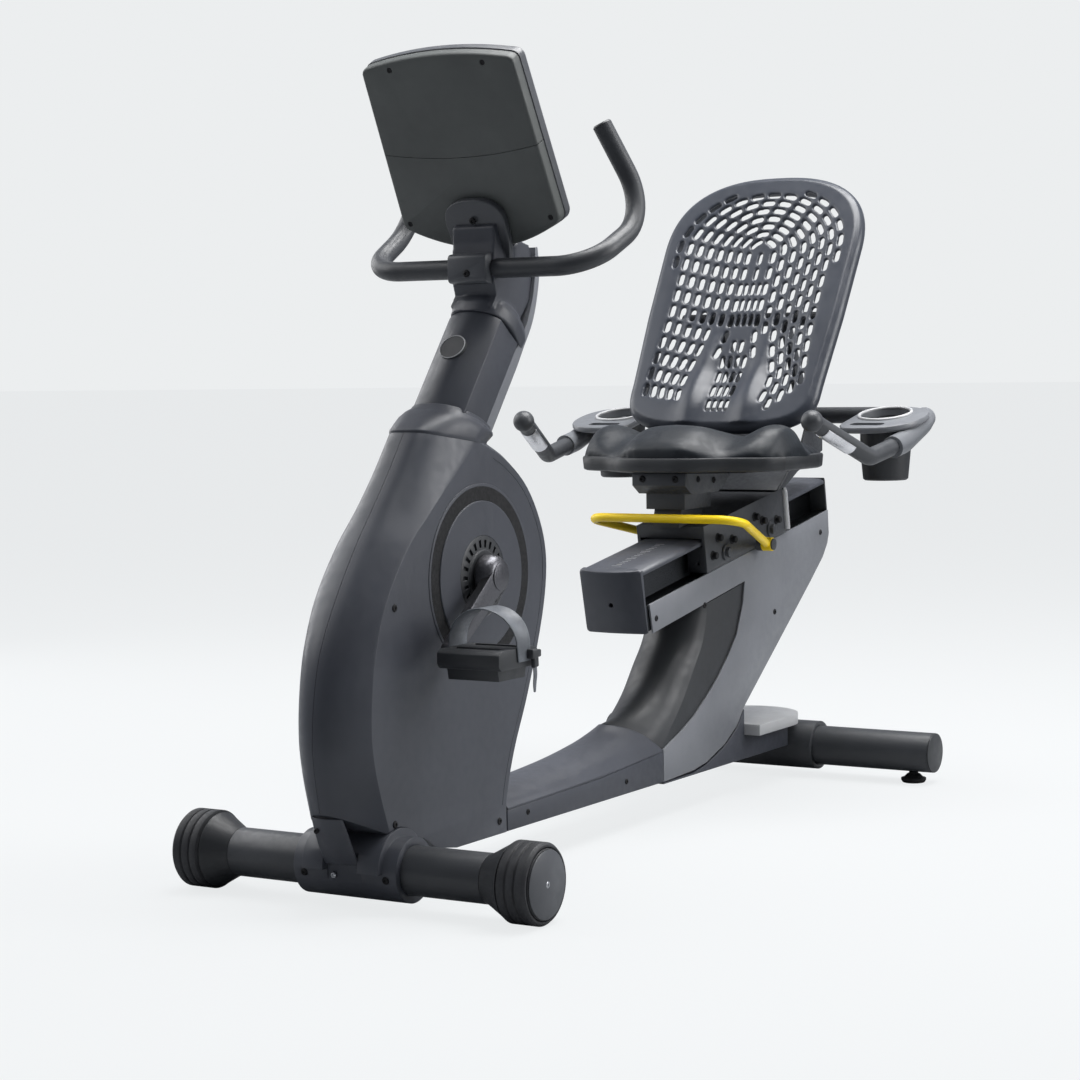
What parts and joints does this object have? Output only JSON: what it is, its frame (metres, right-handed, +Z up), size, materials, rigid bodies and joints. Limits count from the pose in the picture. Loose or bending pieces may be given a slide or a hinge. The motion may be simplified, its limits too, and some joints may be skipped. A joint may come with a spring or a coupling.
{
  "type": "recumbent exercise bike",
  "caption": "Recumbent exercise bike: shrouded pedal drive, leaning mast with console and handlebar, and a seat with perforated backrest that slides on a slanted rail.",
  "frame": {"origin": "middle of the footprint, on the floor", "axes": "+X to the rider's left, +Y from the shroud's nose to the seat, +Z up"},
  "size_m": [0.7474, 1.6717, 1.3226],
  "materials": {
    "steel_dark": "satin",
    "shroud_plastic": "satin",
    "panel_grey": "satin",
    "dark_plastic": "satin",
    "console_plastic": "matte",
    "bezel_plastic": "satin",
    "screen": "gloss",
    "board": "matte",
    "bare_steel": "brushed",
    "winding": "satin",
    "belt_rubber": "matte",
    "wheel_rubber": "matte",
    "foot_rubber": "matte",
    "crank_metal": "satin",
    "rotor_metal": "satin",
    "strap_rubber": "satin",
    "rail_metal": "anodised black",
    "roller_nylon": "smooth",
    "cushion_skin": "soft satin",
    "back_plastic": "satin",
    "sensor_metal": "satin",
    "lever_yellow": "gloss",
    "tray_plastic": "satin",
    "button_grey": "satin"
  },
  "bodies": {
    "frame": {"front_stabiliser": "steel_dark", "wheel_collars": "dark_plastic", "front_bracket": "dark_plastic", "nose_plate": "dark_plastic", "base_beam": "steel_dark", "mast_tube": "steel_dark", "shroud_left": "shroud_plastic", "shroud_right": "shroud_plastic", "shroud_collar": "shroud_plastic", "crank_covers": "shroud_plastic", "mast_cover": "shroud_plastic", "mast_rear_cover": "panel_grey", "mast_head": "dark_plastic", "handlebar": "steel_dark", "handlebar_clamp": "panel_grey", "end_caps": "dark_plastic", "console_back": "console_plastic", "console_lower": "console_plastic", "console_bezel": "bezel_plastic", "display": "screen", "console_board": "board", "beam_cover_upper": "shroud_plastic", "beam_cover_lower": "shroud_plastic", "seat_pillar": "steel_dark", "side_panel_left": "panel_grey", "side_panel_right": "panel_grey", "pillar_cover": "dark_plastic", "seat_rail": "rail_metal", "rail_cover": "shroud_plastic", "rear_stabiliser": "steel_dark", "step_cover": "panel_grey", "bearings": "bare_steel", "stator": "winding", "drive_belt": "belt_rubber"},
    "crank": {"crank_axle": "bare_steel", "crank_arm_left": "crank_metal", "crank_arm_right": "crank_metal", "drive_pulley": "dark_plastic"},
    "pedal_l": {"pedal_left": "dark_plastic", "strap_left": "strap_rubber"},
    "pedal_r": {"pedal_right": "dark_plastic", "strap_right": "strap_rubber"},
    "alternator": {"rotor": "rotor_metal"},
    "wheel_l": {"transport_wheel_left": "wheel_rubber"},
    "wheel_r": {"transport_wheel_right": "wheel_rubber"},
    "leveller_l": {"foot_left": "foot_rubber"},
    "leveller_r": {"foot_right": "foot_rubber"},
    "seat": {"carriage": "steel_dark", "seat_bracket": "steel_dark", "seat_cushion": "cushion_skin", "backrest": "back_plastic", "seat_frame": "steel_dark", "pulse_sensors": "sensor_metal", "trays": "tray_plastic"},
    "rollers_f": {"rollers_front": "roller_nylon"},
    "rollers_b": {"rollers_rear": "roller_nylon"},
    "lever": {"release_lever": "lever_yellow"},
    "key_left": {"button_left": "button_grey"},
    "key_middle": {"button_middle": "button_grey"},
    "key_right": {"button_right": "button_grey"}
  },
  "joints": [
    {"name": "crank_spin", "type": "hinge", "parent": "frame", "child": "crank", "pos_m": [0, -0.4724, 0.485], "axis": [1, 0, 0], "continuous": true},
    {"name": "pedal_left_spin", "type": "hinge", "parent": "crank", "child": "pedal_l", "pos_m": [0.15, -0.61066, 0.38269], "axis": [1, 0, 0], "continuous": true},
    {"name": "pedal_right_spin", "type": "hinge", "parent": "crank", "child": "pedal_r", "pos_m": [-0.15, -0.33414, 0.58731], "axis": [1, 0, 0], "continuous": true},
    {"name": "alternator_spin", "type": "hinge", "parent": "frame", "child": "alternator", "pos_m": [0, -0.6834, 0.3], "axis": [1, 0, 0], "continuous": true},
    {"name": "wheel_left_spin", "type": "hinge", "parent": "frame", "child": "wheel_l", "pos_m": [0.3, -0.7134, 0.0617], "axis": [1, 0, 0], "continuous": true},
    {"name": "wheel_right_spin", "type": "hinge", "parent": "frame", "child": "wheel_r", "pos_m": [-0.3, -0.7134, 0.0617], "axis": [1, 0, 0], "continuous": true},
    {"name": "foot_left_level", "type": "slide", "parent": "frame", "child": "leveller_l", "axis": [0, 0, -1], "range_m": [0, 0.01]},
    {"name": "foot_right_level", "type": "slide", "parent": "frame", "child": "leveller_r", "axis": [0, 0, -1], "range_m": [0, 0.01]},
    {"name": "seat_slide", "type": "slide", "parent": "frame", "child": "seat", "axis": [0, 0.9866, 0.1633], "range_m": [-0.2, 0.17]},
    {"name": "rollers_front_spin", "type": "hinge", "parent": "seat", "child": "rollers_f", "pos_m": [0, 0.36362, 0.46085], "axis": [1, 0, 0], "continuous": true},
    {"name": "rollers_rear_spin", "type": "hinge", "parent": "seat", "child": "rollers_b", "pos_m": [0, 0.55107, 0.49188], "axis": [1, 0, 0], "continuous": true},
    {"name": "lever_pull", "type": "hinge", "parent": "seat", "child": "lever", "pos_m": [0, 0.5016, 0.467], "axis": [1, 0, 0], "range_deg": [-7, 0], "stiffness_Nm_per_rad": 8, "springref_deg": 5.73},
    {"name": "button_left_press", "type": "slide", "parent": "frame", "child": "key_left", "axis": [0, -0.8902, -0.4555], "range_m": [0, 0.0015], "stiffness_N_per_m": 600, "springref_m": -0.001},
    {"name": "button_middle_press", "type": "slide", "parent": "frame", "child": "key_middle", "axis": [0, -0.8902, -0.4555], "range_m": [0, 0.0015], "stiffness_N_per_m": 600, "springref_m": -0.001},
    {"name": "button_right_press", "type": "slide", "parent": "frame", "child": "key_right", "axis": [0, -0.8902, -0.4555], "range_m": [0, 0.0015], "stiffness_N_per_m": 600, "springref_m": -0.001}
  ],
  "couplings": [
    {"joint": "alternator_spin", "follows": "crank_spin", "ratio": 4.5454},
    {"joint": "rollers_front_spin", "follows": "seat_slide", "rad_per_m": -38.462},
    {"joint": "rollers_rear_spin", "follows": "seat_slide", "rad_per_m": -38.462}
  ]
}
